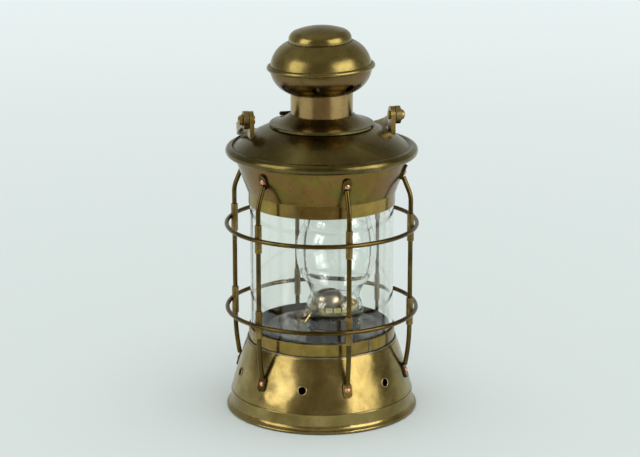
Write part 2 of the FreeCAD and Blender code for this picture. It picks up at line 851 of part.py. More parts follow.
def ring_clips(label, height):
    """Sleeves that bind one guard ring to all the bars."""
    body = new_body(label, FreeCAD.Placement(FreeCAD.Vector(),
                                             turn_about_z(SIZES["guard_first_angle"])))
    low = SIZES[height] - SIZES["clip_length"] / 2
    sleeve = new_sketch(body, label + "_sleeve", "XY_Plane", level(low))
    draw_circle(sleeve, "guard_bar_distance", "0", "clip_radius")
    draw_circle(sleeve, "guard_bar_distance", "0", "guard_bar_radius + clip_play")
    tube = pad(body, sleeve, "clip_length")
    DOC.recompute()
    polar(body, [tube], 6)
    seat = new_sketch(body, label + "_seat", "XZ_Plane")
    draw_circle(seat, "guard_ring_distance", height, "guard_ring_wire + clip_play")
    cut = groove(body, seat)
    body.Tip = cut


def rivets(label, eye):
    """Six domed rivet heads on the bars' flattened eyes."""
    body = new_body(label, FreeCAD.Placement(FreeCAD.Vector(),
                                             turn_about_z(SIZES["guard_first_angle"])))
    sketch = new_sketch(body, label + "_profile", "XZ_Plane", along(*eye))
    draw(sketch, [
        ("bar_eye_thickness", "0"),
        ("bar_eye_thickness", "rivet_radius"),
        ("bar_eye_thickness + 0.2", "rivet_radius"),
        ("bar_eye_thickness + 0.8", "rivet_radius - 0.7"),
        ("bar_eye_thickness + rivet_height", "0"),
    ])
    head = revolve(body, sketch, "H_Axis")
    DOC.recompute()
    polar(body, [head], 6)


# ---------------------------------------------------------------- oil lamp


def font_placement():
    return FreeCAD.Placement(FreeCAD.Vector(SIZES["font_x"], SIZES["font_y"], 0),
                             FreeCAD.Rotation())


def burner_placement():
    base = FreeCAD.Vector(SIZES["burner_x"], SIZES["burner_y"], 0)
    return FreeCAD.Placement(base, turn_about_z(SIZES["burner_turn"]))


def font_tank():
    """Tinned oil can with a hole under the burner."""
    body = turned("font_tank", [
        ("0", "font_bottom"),
        ("font_radius", "font_bottom"),
        ("font_radius", "font_top - 1.2"),
        ("font_radius - 1.2", "font_top"),
        ("0", "font_top"),
        ("0", "font_top - sheet"),
        ("font_radius - 1.5", "font_top - sheet"),
        ("font_radius - sheet", "font_top - 1.5"),
        ("font_radius - sheet", "font_bottom + sheet"),
        ("0", "font_bottom + sheet"),
    ], font_placement())
    sketch = new_sketch(body, "burner_hole", "XY_Plane", level(40))
    draw_circle(sketch, "burner_x - font_x", "burner_y - font_y", "font_hole_radius")
    DOC.recompute()
    hole = body.newObject("PartDesign::Pocket", "burner_hole_cut")
    hole.Profile = sketch
    hole.Length = 30
    hole.Reversed = True


def font_base_plate():
    """Pressed plate that closes the foot and carries the font; its holes let air in."""
    body = turned("font_base_plate", [
        ("0", "plate_bottom"),
        ("plate_radius", "plate_bottom"),
        ("plate_radius", "plate_bottom + plate_rim"),
        ("plate_radius - sheet", "plate_bottom + plate_rim"),
        ("plate_radius - sheet", "font_bottom"),
        ("0", "font_bottom"),
    ])
    sketch = new_sketch(body, "plate_hole", "XY_Plane")
    draw_circle(sketch, "plate_hole_distance", "0", "plate_hole_radius")
    hole = pocket_through(body, sketch)
    polar(body, [hole], 8)


def font_springs():
    """Three leaf catches that hold the plate in the foot band."""
    body = new_body("font_springs")
    sketch = new_sketch(body, "spring_leaf", "XY_Plane", level(SIZES["spring_bottom"]))
    draw_box(sketch, "plate_radius + 0.02", "plate_radius + 1.0", "- 3", "3")
    leaf = pad(body, sketch, "spring_length")
    DOC.recompute()
    polar(body, [leaf], 3)


def burner_collar():
    """Ring on the font that the burner screws into."""
    turned("burner_collar", [
        ("collar_bore", "font_top"),
        ("collar_radius", "font_top"),
        ("collar_radius", "font_top + 1"),
        ("collar_radius - 1.2", "collar_top"),
        ("collar_bore", "collar_top"),
    ], burner_placement())


def burner_drum():
    """Pierced drum that feeds air to the flame; the winder comes out of its side."""
    body = turned("burner_drum", [
        ("drum_radius - burner_sheet", "collar_top"),
        ("drum_radius", "collar_top"),
        ("drum_radius", "drum_top"),
        ("drum_radius - burner_sheet", "drum_top"),
    ], burner_placement())
    sketch = new_sketch(body, "winder_hole", "YZ_Plane")
    draw_circle(sketch, "0 - winder_side", "winder_hole_height", "winder_hole_radius")
    pocket_through(body, sketch)
    air = new_sketch(body, "drum_air_hole", "XZ_Plane")
    draw_circle(air, "0", "drum_hole_height", "drum_hole_radius")
    hole = pocket_through(body, air)
    polar(body, [hole], 13)


def burner_gallery():
    """Disc with a ring of spring prongs that the chimney slips over."""
    body = turned("burner_gallery", [
        ("0", "drum_top"),
        ("gallery_radius", "drum_top"),
        ("gallery_radius", "drum_top + gallery_rim"),
        ("gallery_radius - burner_sheet", "drum_top + gallery_rim"),
        ("gallery_radius - burner_sheet", "drum_top + burner_sheet"),
        ("prong_radius", "drum_top + burner_sheet"),
        ("prong_radius", "prong_top"),
        ("prong_radius - burner_sheet", "prong_top"),
        ("prong_radius - burner_sheet", "drum_top + burner_sheet"),
        ("0", "drum_top + burner_sheet"),
    ], burner_placement())
    slot = new_sketch(body, "prong_slot", "YZ_Plane")
    draw_box(slot, "- 0.5", "0.5", "drum_top + gallery_rim + 0.5", "prong_top + 1")
    cut = pocket_through(body, slot)
    polar(body, [cut], 9)
    window = new_sketch(body, "gallery_slot", "XY_Plane")
    draw_box(window, "0 - gallery_slot_half - cone_shift", "gallery_slot_half - cone_shift",
             "- 2", "2")
    pocket_through(body, window)


def cone_placement():
    shift = FreeCAD.Placement(FreeCAD.Vector(-SIZES["cone_shift"], 0, 0), FreeCAD.Rotation())
    return burner_placement().multiply(shift)


def burner_cone():
    """Domed deflector with the flame slot; it sits to one side of the gallery."""
    body = turned("burner_cone", [
        ("burner_cone_radius - burner_sheet", "drum_top + burner_sheet"),
        ("burner_cone_radius", "drum_top + burner_sheet"),
        ("burner_cone_radius", "burner_cone_shoulder", "burner_cone_bend", 1),
        ("burner_cone_flat", "burner_cone_top"),
        ("0", "burner_cone_top"),
        ("0", "burner_cone_top - burner_sheet"),
        ("burner_cone_flat", "burner_cone_top - burner_sheet",
         "burner_cone_bend - burner_sheet", -1),
        ("burner_cone_radius - burner_sheet", "burner_cone_shoulder"),
    ], cone_placement())
    sketch = new_sketch(body, "flame_slot", "XY_Plane", level(78))
    half_long = SIZES["flame_slot_length"] / 2
    half_wide = SIZES["flame_slot_width"] / 2
    draw_box(sketch, "- %.2f" % half_long, "%.2f" % half_long,
             "- %.2f" % half_wide, "%.2f" % half_wide)
    DOC.recompute()
    before = body.Shape.Volume
    cut = body.newObject("PartDesign::Pocket", "flame_slot_cut")
    cut.Profile = sketch
    cut.Length = 12
    cut.Reversed = True
    DOC.recompute()
    if body.Shape.Volume >= before:
        raise RuntimeError("the flame slot cuts nothing")


def flat_tube(label, play, wall, low, high):
    """Upright flat tube round the wick, or the wick itself where wall is None."""
    body = new_body(label, cone_placement())
    sketch = new_sketch(body, label + "_section", "XY_Plane", level(amount(low)))
    half_long = SIZES["wick_width"] / 2 + play
    half_wide = SIZES["wick_thickness"] / 2 + play
    sizes = [(half_long, half_wide)]
    if wall is not None:
        sizes.append((half_long + wall, half_wide + wall))
    for long_side, wide_side in sizes:
        draw_box(sketch, "- %.2f" % long_side, "%.2f" % long_side,
                 "- %.2f" % wide_side, "%.2f" % wide_side)
    pad(body, sketch, "%s - %s" % (high, low))


def winder_placement():
    """The inclined axis of the wick winder, with -X running out to the thumb wheel."""
    start = FreeCAD.Vector(0, -SIZES["winder_side"], SIZES["winder_height"])
    rise = FreeCAD.Rotation(FreeCAD.Vector(0, 1, 0), SIZES["winder_rise"])
    return burner_placement().multiply(FreeCAD.Placement(start, rise))


def winder_piece(label, near, far, radius, bore=None):
    """A round piece on the winder's axis between two distances from the burner's centre."""
    body = new_body(label, winder_placement())
    sketch = new_sketch(body, label + "_section", "YZ_Plane", level(-far))
    draw_circle(sketch, "0", "0", radius)
    if bore is not None:
        draw_circle(sketch, "0", "0", bore)
    pad(body, sketch, "%.3f" % (far - near))
    return body


def winder_pieces():
    wheel_from = SIZES["winder_wheel_from"]
    wheel_to = wheel_from + SIZES["winder_wheel_thickness"]
    winder_piece("winder_sleeve", SIZES["sleeve_from"], SIZES["sleeve_to"],
                 "sleeve_radius", "winder_shaft_radius + winder_play")
    winder_piece("winder_shaft", SIZES["shaft_from"], wheel_to + 0.6, "winder_shaft_radius")
    winder_piece("winder_wheel", wheel_from, wheel_to, "winder_wheel_radius",
                 "winder_shaft_radius")
    winder_piece("winder_sprocket", SIZES["sprocket_from"], SIZES["sprocket_to"],
                 "sprocket_radius", "winder_shaft_radius")


def lamp_chimney():
    """Bellied glass chimney that slips over the prongs, leaning a little as it stands."""
    lean = FreeCAD.Rotation(LEAN_AXIS, SIZES["chimney_tilt"])
    base = FreeCAD.Vector(SIZES["burner_x"], SIZES["burner_y"], SIZES["chimney_foot"])
    body = new_body("lamp_chimney", FreeCAD.Placement(base, lean))
    outer = [
        ("chimney_foot_radius", "0.3"),
        ("chimney_foot_radius", "chimney_foot_height", "foot_bend", 1),
        ("chimney_waist_radius", "chimney_waist_height", "waist_bend", -1),
        ("chimney_bulge_radius - 1.8", "chimney_bulge_low", "bulge_bend", 1),
        ("chimney_bulge_radius - 1.2", "chimney_bulge_high", "shoulder_bend", 1),
        ("chimney_tube_radius + 2", "chimney_neck_low", "neck_bend", -1),
        ("chimney_tube_radius", "chimney_neck_high"),
        ("chimney_tube_radius", "chimney_height"),
    ]
    wall = " - chimney_wall"
    inner = [
        ("chimney_tube_radius" + wall, "chimney_height"),
        ("chimney_tube_radius" + wall, "chimney_neck_high", "neck_bend", 1),
        ("chimney_tube_radius + 2" + wall, "chimney_neck_low", "shoulder_bend", -1),
        ("chimney_bulge_radius - 1.2" + wall, "chimney_bulge_high", "bulge_bend", -1),
        ("chimney_bulge_radius - 1.8" + wall, "chimney_bulge_low", "waist_bend", 1),
        ("chimney_waist_radius" + wall, "chimney_waist_height", "foot_bend", -1),
        ("chimney_foot_radius" + wall, "chimney_foot_height"),
        ("chimney_foot_radius" + wall, "0.3"),
    ]
    sketch = new_sketch(body, "chimney_profile", "XZ_Plane")
    draw(sketch, outer + inner)
    revolve(body, sketch)


# ---------------------------------------------------------------- build and write


def build():
    foot_band()
    base_skirt()
    lower_glass_collar()
    glass_seat_ring()
    globe_glass()
    upper_glass_band()
    glass_top_ring()
    cone_collar()
    roof()
    raised_disc("lid_flange", "hinge_distance - chord_gap_front", "50")
    raised_disc("roof_rear_segment", "- 50", "hinge_distance + chord_gap_back")
    neck_tube()
    cap_bowl()
    wire_ring("cap_seam", "seam_radius", "seam_height", "seam_wire", cap_placement())
    cap_dome()
    cap_button()
    lid_hinge()
    bail_handle()
    for side, name in ((-1, "left"), (1, "right")):
        bail_lug("bail_lug_" + name, side)
        bail_pin("bail_pin_" + name, side)
        bail_washer("bail_washer_" + name, side)
    for number in range(1, 7):
        guard_bar(number)
    wire_ring("guard_ring_lower", "guard_ring_distance", "guard_ring_low", "guard_ring_wire")
    wire_ring("guard_ring_upper", "guard_ring_distance", "guard_ring_high", "guard_ring_wire")
    ring_clips("ring_clips_lower", "guard_ring_low")
    ring_clips("ring_clips_upper", "guard_ring_high")
    rivets("rivets_lower", LOWER_EYE)
    rivets("rivets_upper", UPPER_EYE)
    font_tank()
    font_base_plate()
    font_springs()
    burner_collar()
    burner_drum()
    burner_gallery()
    burner_cone()
    flat_tube("wick_tube", SIZES["wick_play"], 0.5, "wick_tube_bottom", "wick_tube_top")
    flat_tube("wick", 0.0, None, "wick_bottom", "wick_top")
    winder_pieces()
    lamp_chimney()


def check():
    """Stop if any object failed or any piece is empty or invalid."""
    DOC.recompute()
    for item in DOC.Objects:
        if "Invalid" in item.State or "Error" in item.State:
            raise RuntimeError("%s failed: %s" % (item.Name, item.State))
    for piece in PARTS:
        shape = piece.Shape
        if shape.isNull() or not shape.isValid() or not shape.Solids:
            raise RuntimeError("%s has no valid solid" % piece.Label)


def write():
    os.makedirs("parts", exist_ok=True)
    for piece in PARTS:
        piece.Shape.exportStep("parts/%s.step" % piece.Label)
        print("%-22s %2d solids %10.1f mm3" % (
            piece.Label, len(piece.Shape.Solids), piece.Shape.Volume))


fill_sheet()
build()
check()
write()
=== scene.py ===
import json
import math

import bmesh
import bpy
from mathutils import Matrix, Vector, noise
from mathutils.bvhtree import BVHTree


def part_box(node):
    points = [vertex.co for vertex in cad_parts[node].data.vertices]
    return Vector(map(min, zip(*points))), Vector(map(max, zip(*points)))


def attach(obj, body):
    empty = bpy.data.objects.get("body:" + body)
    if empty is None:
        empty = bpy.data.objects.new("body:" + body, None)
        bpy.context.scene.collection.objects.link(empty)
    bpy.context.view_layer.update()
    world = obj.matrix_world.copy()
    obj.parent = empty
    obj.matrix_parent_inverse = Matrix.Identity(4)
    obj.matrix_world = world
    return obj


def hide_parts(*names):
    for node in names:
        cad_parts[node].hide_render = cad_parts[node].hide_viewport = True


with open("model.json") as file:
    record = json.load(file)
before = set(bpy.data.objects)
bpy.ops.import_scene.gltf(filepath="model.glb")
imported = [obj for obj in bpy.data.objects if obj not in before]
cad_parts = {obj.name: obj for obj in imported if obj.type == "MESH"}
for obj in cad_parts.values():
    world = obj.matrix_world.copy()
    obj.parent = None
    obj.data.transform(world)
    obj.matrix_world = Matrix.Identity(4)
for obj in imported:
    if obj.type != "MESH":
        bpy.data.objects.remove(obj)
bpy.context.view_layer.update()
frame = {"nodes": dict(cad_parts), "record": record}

# Ship lantern, in metres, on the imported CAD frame. The photographer stands at the front,
# a little to the left of the bail's square view, and looks slightly down.

NODES = frame["nodes"]
SCENE = bpy.context.scene
MM = 0.001

AHEAD = Vector((0.292, 0.956, 0.0)).normalized()
RIGHT = Vector((AHEAD.y, -AHEAD.x, 0.0))
UP = Vector((0.0, 0.0, 1.0))


def middle(node):
    """The middle of a node's box at rest."""
    low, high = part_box(node)
    return (Vector(low) + Vector(high)) / 2


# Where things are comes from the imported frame. Offsets and sizes are the pieces' own.
SKIRT_LOW, SKIRT_TOP = (corner[2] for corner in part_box("base_skirt"))
COLLAR_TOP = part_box("lower_glass_collar")[1][2]
COLLAR_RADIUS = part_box("lower_glass_collar")[1][0]

# The six air holes punched through the skirt, the first on +X, and the lips round them.
AIR_HOLES = 6
LIP_PAST_HOLE = 0.20 * MM
LIP_PAST_WALL = 0.08 * MM
LIP_WIRE = 0.42 * MM
LIP_STEPS = 32

# The soldered joints.
SKIRT_SOLDER_RADIUS = COLLAR_RADIUS + 0.55 * MM
SKIRT_SOLDER_HEIGHT = SKIRT_TOP - 0.3 * MM
SKIRT_SOLDER_WIRE = 0.62 * MM
SOLDER_STEPS = 180
SEAM_FROM_AXIS = COLLAR_RADIUS + 0.15 * MM
SEAM_FROM_FRONT = 40
SEAM_LOW, SEAM_HIGH = SKIRT_TOP + 0.5 * MM, COLLAR_TOP - 0.6 * MM
SEAM_STEPS = 12
BEAD_SIDES = 8

# The burner stands off the lantern's axis. Its winder's joint says how it is turned.
BURNER = middle("burner_gallery")
BURNER.z = 0.0
WINDER = next(joint for joint in frame["record"]["behaviour"]["joints"]
              if joint["name"] == "winder_turn")
WINDER_AT = Vector(WINDER["pos_m"])
WINDER_ALONG = Vector(WINDER["axis"]).normalized()
BURNER_TURN = math.atan2(-WINDER_ALONG.y, -WINDER_ALONG.x)
WICK_HALF_WIDTH = 5.85 * MM
WICK_HALF_THICKNESS = 0.55 * MM
WICK_AROUND, WICK_ROWS = 64, 84
WICK_RIBS = 13
WICK_TOP_ROOM = 0.5 * MM
BRACKET_BEHIND_WHEEL = 2.75 * MM
BRACKET_HALF_PLATE = 0.3
BRACKET_STEPS = 48
BRACKET_HOLE = 1.25


# ---------------------------------------------------------------- node materials


class Shader:
    """A small helper round one material's node tree."""

    def __init__(self, name):
        self.material = bpy.data.materials.new(name)
        self.material.use_nodes = True
        self.tree = self.material.node_tree
        self.tree.nodes.clear()
        self.output = self.node("ShaderNodeOutputMaterial")
        self.object_place = self.node("ShaderNodeTexCoord").outputs["Object"]

    @classmethod
    def on(cls, tree):
        """The same helper round a tree that is not a material's, such as the world's."""
        made = cls.__new__(cls)
        made.tree = tree
        return made

    def node(self, kind, **settings):
        made = self.tree.nodes.new(kind)
        for key, value in settings.items():
            setattr(made, key, value)
        return made

    def put(self, socket, value):
        """Link value to socket if it is a socket, otherwise set it."""
        if isinstance(value, bpy.types.NodeSocket):
            self.tree.links.new(value, socket)
        elif value is not None:
            socket.default_value = value

    def place(self, stretch=(1, 1, 1), shift=(0, 0, 0)):
        """Object coordinates, scaled and shifted."""
        mapping = self.node("ShaderNodeMapping")
        self.put(mapping.inputs["Vector"], self.object_place)
        mapping.inputs["Scale"].default_value = stretch
        mapping.inputs["Location"].default_value = shift
        return mapping.outputs["Vector"]

    def noise(self, scale, detail=3.0, rough=0.55, vector=None, warp=0.0):
        made = self.node("ShaderNodeTexNoise")
        self.put(made.inputs["Vector"], vector or self.object_place)
        made.inputs["Scale"].default_value = scale
        made.inputs["Detail"].default_value = detail
        made.inputs["Roughness"].default_value = rough
        made.inputs["Distortion"].default_value = warp
        return made.outputs["Fac"]

    def ramp(self, value, stops):
        made = self.node("ShaderNodeValToRGB")
        ramp = made.color_ramp
        ramp.interpolation = "LINEAR"
        while len(ramp.elements) < len(stops):
            ramp.elements.new(0.5)
        for element, (at, colour) in zip(ramp.elements, stops):
            element.position = at
            element.color = (*colour, 1.0)
        self.put(made.inputs["Fac"], value)
        return made.outputs["Color"]

    def spread(self, value, low, high, to_low=0.0, to_high=1.0, smooth=False):
        made = self.node("ShaderNodeMapRange")
        made.interpolation_type = "SMOOTHSTEP" if smooth else "LINEAR"
        self.put(made.inputs["Value"], value)
        made.inputs["From Min"].default_value = low
        made.inputs["From Max"].default_value = high
        made.inputs["To Min"].default_value = to_low
        made.inputs["To Max"].default_value = to_high
        return made.outputs["Result"]

    def maths(self, operation, one, two=None, clamp=False):
        made = self.node("ShaderNodeMath", operation=operation, use_clamp=clamp)
        self.put(made.inputs[0], one)
        if two is not None:
            self.put(made.inputs[1], two)
        return made.outputs[0]

    def mix(self, amount, one, two):
        made = self.node("ShaderNodeMix", data_type="RGBA", blend_type="MIX")
        self.put(made.inputs[0], amount)
        self.put(made.inputs[6], one if not isinstance(one, tuple) else (*one[:3], 1.0))
        self.put(made.inputs[7], two if not isinstance(two, tuple) else (*two[:3], 1.0))
        return made.outputs[2]

    def worn_edges(self):
        """High along an outer edge: the rounded normal against the true one."""
        round_off = self.node("ShaderNodeBevel", samples=4)
        round_off.inputs["Radius"].default_value = 0.7 * MM
        true = self.node("ShaderNodeNewGeometry").outputs["Normal"]
        turn = self.node("ShaderNodeVectorMath", operation="DOT_PRODUCT")
        self.put(turn.inputs[0], round_off.outputs["Normal"])
        self.put(turn.inputs[1], true)
        return self.spread(turn.outputs["Value"], 0.995, 0.88, 0.0, 1.0)

    def crevice(self):
        """High where something else comes close to the surface: the ambient-occlusion mask for
        painted shade.
        """
        shade = self.node("ShaderNodeAmbientOcclusion", samples=4)
        shade.inputs["Distance"].default_value = 4 * MM
        return self.spread(shade.outputs["AO"], 0.85, 0.35, 0.0, 1.0)

    def bump(self, height, strength, distance, after=None):
        made = self.node("ShaderNodeBump")
        made.inputs["Strength"].default_value = strength
        made.inputs["Distance"].default_value = distance
        self.put(made.inputs["Height"], height)
        if after is not None:
            self.put(made.inputs["Normal"], after)
        return made.outputs["Normal"]

    def finish(self, colour, rough, normal=None, **constants):
        surface = self.node("ShaderNodeBsdfPrincipled")
        self.put(surface.inputs["Base Color"], colour if not isinstance(colour, tuple)
                 else (*colour[:3], 1.0))
        self.put(surface.inputs["Roughness"], rough)
        if normal is not None:
            self.put(surface.inputs["Normal"], normal)
        for key, value in constants.items():
            surface.inputs[key.replace("_", " ")].default_value = value
        self.tree.links.new(surface.outputs["BSDF"], self.output.inputs["Surface"])
        return self.material


def aged_metal(name, dark, middle, light, rough=(0.2, 0.36), patch=38.0, tints=None,
               tint_amount=0.0, bright_edge=None, occlusion_shade_colour=(0.05, 0.04, 0.025), dents=0.25,
               spun=0.0, seed=0.0, zone=None, knocks=()):
    """Old sheet or wire with uneven tarnish and rubbed edges, and painted shade that darkens it
    where other surfaces come close.

    zone = (centre, inner, outer, colour) tints what lies outside a radius about an upright
    axis. knocks = [(point, radius, depth)] are dents.
    """
    s = Shader(name)
    here = s.place(shift=(seed, seed * 0.7, seed * 1.3))
    broad = s.noise(patch, 4.0, 0.6, here, warp=0.4)
    colour = s.ramp(broad, [(0.30, dark), (0.50, middle), (0.72, light)])
    if tints:
        drift = s.noise(patch * 0.8, 2.0, 0.5, s.place(shift=(seed + 3.1, 1.7, seed)), warp=1.2)
        steps = [(0.30 + 0.40 * i / (len(tints) - 1), tint) for i, tint in enumerate(tints)]
        colour = s.mix(tint_amount, colour, s.ramp(drift, steps))
    blotch = s.noise(240.0, 3.0, 0.65, here)
    colour = s.mix(s.spread(blotch, 0.55, 0.75, 0.0, 0.42), colour,
                   tuple(0.55 * c for c in dark))
    grain = s.noise(1500.0, 2.0, 0.5, here)
    colour = s.mix(s.spread(grain, 0.35, 0.7, 0.0, 0.16), colour, light)
    if zone:
        centre, inner, outer, shade = zone
        flat = s.node("ShaderNodeVectorMath", operation="MULTIPLY")
        s.put(flat.inputs[0], s.object_place)
        flat.inputs[1].default_value = (1, 1, 0)
        off = s.node("ShaderNodeVectorMath", operation="DISTANCE")
        s.put(off.inputs[0], flat.outputs["Vector"])
        off.inputs[1].default_value = centre
        colour = s.mix(s.spread(off.outputs["Value"], inner, outer), colour, shade)
    # Painted shade: the colour darkens towards a dark tone where other surfaces come close
    # (ambient occlusion).
    occluded = s.crevice()
    colour = s.mix(s.maths("MULTIPLY", occluded, 0.7), colour, occlusion_shade_colour)
    edge = s.maths("MULTIPLY", s.worn_edges(), s.maths("SUBTRACT", 1.0, occluded, clamp=True))
    edge = s.maths("MULTIPLY", edge, s.spread(s.noise(330.0, 2.0, 0.5, here), 0.3, 0.6, 0.25, 1))
    colour = s.mix(s.maths("MULTIPLY", edge, 0.75), colour,
                   bright_edge or tuple(min(1.0, 1.5 * c) for c in light))
    dull = s.noise(90.0, 4.0, 0.6, s.place(shift=(seed, 9.0, 2.0)))
    rough_here = s.spread(dull, 0.3, 0.7, rough[0], rough[1])
    rough_here = s.maths("ADD", rough_here, s.maths("MULTIPLY", occluded, 0.18), clamp=True)
    normal = s.bump(s.noise(55.0, 2.0, 0.5, here), dents, 0.35 * MM)
    for point, radius, depth in knocks:
        near = s.node("ShaderNodeVectorMath", operation="DISTANCE")
        s.put(near.inputs[0], s.object_place)
        near.inputs[1].default_value = point
        hollow_here = s.spread(near.outputs["Value"], 0.0, radius, -depth, 0.0, smooth=True)
        normal = s.bump(hollow_here, 1.0, 1.0, normal)
    if spun:
        rings = s.noise(1.0, 3.0, 0.6, s.place(stretch=(40, 40, 1800)))
        normal = s.bump(rings, spun, 0.05 * MM, normal)
    normal = s.bump(grain, 0.12, 0.06 * MM, normal)
    return s.finish(colour, rough_here, normal, Metallic=1.0)


def on_skirt(across, height, radius):
    """A point on a round wall, found by its distance to the right of the lantern's axis."""
    return RIGHT * across - AHEAD * math.sqrt(radius ** 2 - across ** 2) + UP * height


def clear_glass(name, tint=(0.955, 0.967, 0.935), film=0.10, seed=0.0):
    """Old clear glass: faint streaks of smear and dust, greyer where it is thick."""
    s = Shader(name)
    streaks = s.noise(1.0, 3.0, 0.6, s.place(stretch=(260, 260, 9), shift=(seed, 0, 0)))
    smear = s.noise(60.0, 4.0, 0.6, s.place(shift=(seed, 4.0, 0)))
    dust = s.maths("MULTIPLY", s.spread(streaks, 0.52, 0.72), s.spread(smear, 0.4, 0.7),
                   clamp=True)
    colour = s.mix(s.maths("MULTIPLY", dust, film * 4), tint, (0.80, 0.83, 0.80))
    rough = s.maths("MULTIPLY", dust, film)
    normal = s.bump(s.noise(34.0, 1.0, 0.4), 0.25, 0.25 * MM)
    return s.finish(colour, rough, normal, Transmission_Weight=1.0, IOR=1.47)


MATERIALS = {
    "brass_base": aged_metal(
        "brass_base", (0.147, 0.108, 0.034), (0.270, 0.200, 0.065), (0.412, 0.315, 0.122),
        rough=(0.15, 0.28), dents=0.6, spun=0.25, seed=1.0,
        knocks=[(on_skirt(-24 * MM, 31 * MM, 58.3 * MM), 12 * MM, 0.55 * MM),
                (on_skirt(-33 * MM, 24 * MM, 60 * MM), 9 * MM, 0.3 * MM),
                (on_skirt(2 * MM, 36 * MM, 57 * MM), 14 * MM, 0.3 * MM),
                (on_skirt(40 * MM, 34 * MM, 57.5 * MM), 13 * MM, 0.35 * MM)]),
    "brass_collar": aged_metal(
        "brass_collar", (0.116, 0.079, 0.020), (0.256, 0.174, 0.037), (0.487, 0.342, 0.076),
        rough=(0.14, 0.26), seed=2.0, spun=0.25,
        tints=[(0.15, 0.16, 0.05), (0.30, 0.20, 0.06), (0.26, 0.15, 0.08), (0.26, 0.20, 0.05)],
        tint_amount=0.35),
    "brass_cone": aged_metal(
        "brass_cone", (0.103, 0.065, 0.017), (0.205, 0.124, 0.029), (0.314, 0.205, 0.056),
        rough=(0.16, 0.30), seed=3.0, spun=0.2,
        tints=[(0.12, 0.17, 0.045), (0.18, 0.15, 0.035), (0.25, 0.11, 0.05),
               (0.19, 0.15, 0.03), (0.13, 0.17, 0.05)],
        tint_amount=0.5),
    "brass_roof": aged_metal(
        "brass_roof", (0.076, 0.057, 0.017), (0.135, 0.101, 0.029), (0.220, 0.182, 0.065),
        rough=(0.17, 0.30), seed=4.0, spun=0.35, patch=30.0),
    "brass_cap": aged_metal(
        "brass_cap", (0.123, 0.094, 0.027), (0.212, 0.161, 0.049), (0.330, 0.262, 0.099),
        rough=(0.21, 0.33), seed=5.0, spun=0.3, patch=30.0),
    "brass_neck": aged_metal(
        "brass_neck", (0.150, 0.105, 0.034), (0.310, 0.220, 0.074), (0.480, 0.360, 0.140),
        rough=(0.16, 0.28), seed=5.9, spun=0.3, patch=36.0,
        tints=[(0.24, 0.19, 0.06), (0.34, 0.19, 0.11), (0.28, 0.21, 0.07)], tint_amount=0.4),
    "brass_bowl": aged_metal(
        "brass_bowl", (0.090, 0.060, 0.020), (0.170, 0.112, 0.036), (0.290, 0.205, 0.075),
        rough=(0.18, 0.30), seed=5.5, spun=0.3, patch=30.0,
        tints=[(0.16, 0.12, 0.04), (0.24, 0.13, 0.07), (0.18, 0.13, 0.05)], tint_amount=0.4),
    "brass_guard": aged_metal(
        "brass_guard", (0.056, 0.036, 0.009), (0.101, 0.065, 0.016), (0.168, 0.116, 0.034),
        rough=(0.18, 0.32), seed=6.0, patch=60.0, dents=0.4),
    "brass_clip": aged_metal(
        "brass_clip", (0.112, 0.073, 0.023), (0.210, 0.139, 0.042), (0.336, 0.238, 0.090),
        rough=(0.26, 0.42), seed=7.0, patch=110.0, dents=0.4),
    "copper_rivet": aged_metal(
        "copper_rivet", (0.42, 0.16, 0.09), (0.66, 0.27, 0.17), (0.86, 0.46, 0.32),
        rough=(0.22, 0.40), seed=8.0, patch=260.0, dents=0.3),
    "brass_bail": aged_metal(
        "brass_bail", (0.143, 0.101, 0.038), (0.238, 0.175, 0.074), (0.360, 0.288, 0.144),
        rough=(0.26, 0.42), seed=9.0, patch=60.0, dents=0.3),
    "brass_hardware": aged_metal(
        "brass_hardware", (0.172, 0.116, 0.031), (0.312, 0.217, 0.056), (0.468, 0.345, 0.118),
        rough=(0.24, 0.36), seed=10.0, patch=120.0, dents=0.3),
    # Its painted shade where other surfaces come close is near black.
    "tinned_font": aged_metal(
        "tinned_font", (0.022, 0.020, 0.016), (0.048, 0.044, 0.037), (0.11, 0.105, 0.09),
        rough=(0.08, 0.20), seed=11.0, patch=45.0, dents=0.3, occlusion_shade_colour=(0.02, 0.02, 0.02)),
    "brass_plate": aged_metal(
        "brass_plate", (0.16, 0.11, 0.045), (0.28, 0.20, 0.08), (0.40, 0.30, 0.13),
        rough=(0.30, 0.45), seed=12.0),
    "brass_burner": aged_metal(
        "brass_burner", (0.432, 0.324, 0.099), (0.720, 0.576, 0.198), (0.960, 0.816, 0.374),
        rough=(0.16, 0.30), seed=13.0, patch=130.0, dents=0.3,
        zone=(BURNER, 17.0 * MM, 17.3 * MM, (0.035, 0.028, 0.02)),
        bright_edge=(0.85, 0.78, 0.5)),
    "burner_cone": aged_metal(
        "burner_cone", (0.17, 0.14, 0.095), (0.30, 0.255, 0.175), (0.44, 0.38, 0.27),
        rough=(0.20, 0.36), seed=14.0, patch=110.0, dents=0.4),
    "burner_dark": aged_metal(
        "burner_dark", (0.025, 0.02, 0.018), (0.05, 0.042, 0.032), (0.11, 0.09, 0.06),
        rough=(0.30, 0.50), seed=15.0, patch=130.0),
    "brass_winder": aged_metal(
        "brass_winder", (0.07, 0.07, 0.06), (0.15, 0.14, 0.12), (0.32, 0.28, 0.18),
        rough=(0.26, 0.42), seed=16.0, patch=200.0),
    "globe_glass": clear_glass("globe_glass"),
    "chimney_glass": clear_glass("chimney_glass", tint=(0.975, 0.985, 0.98), film=0.05, seed=5.0),
}


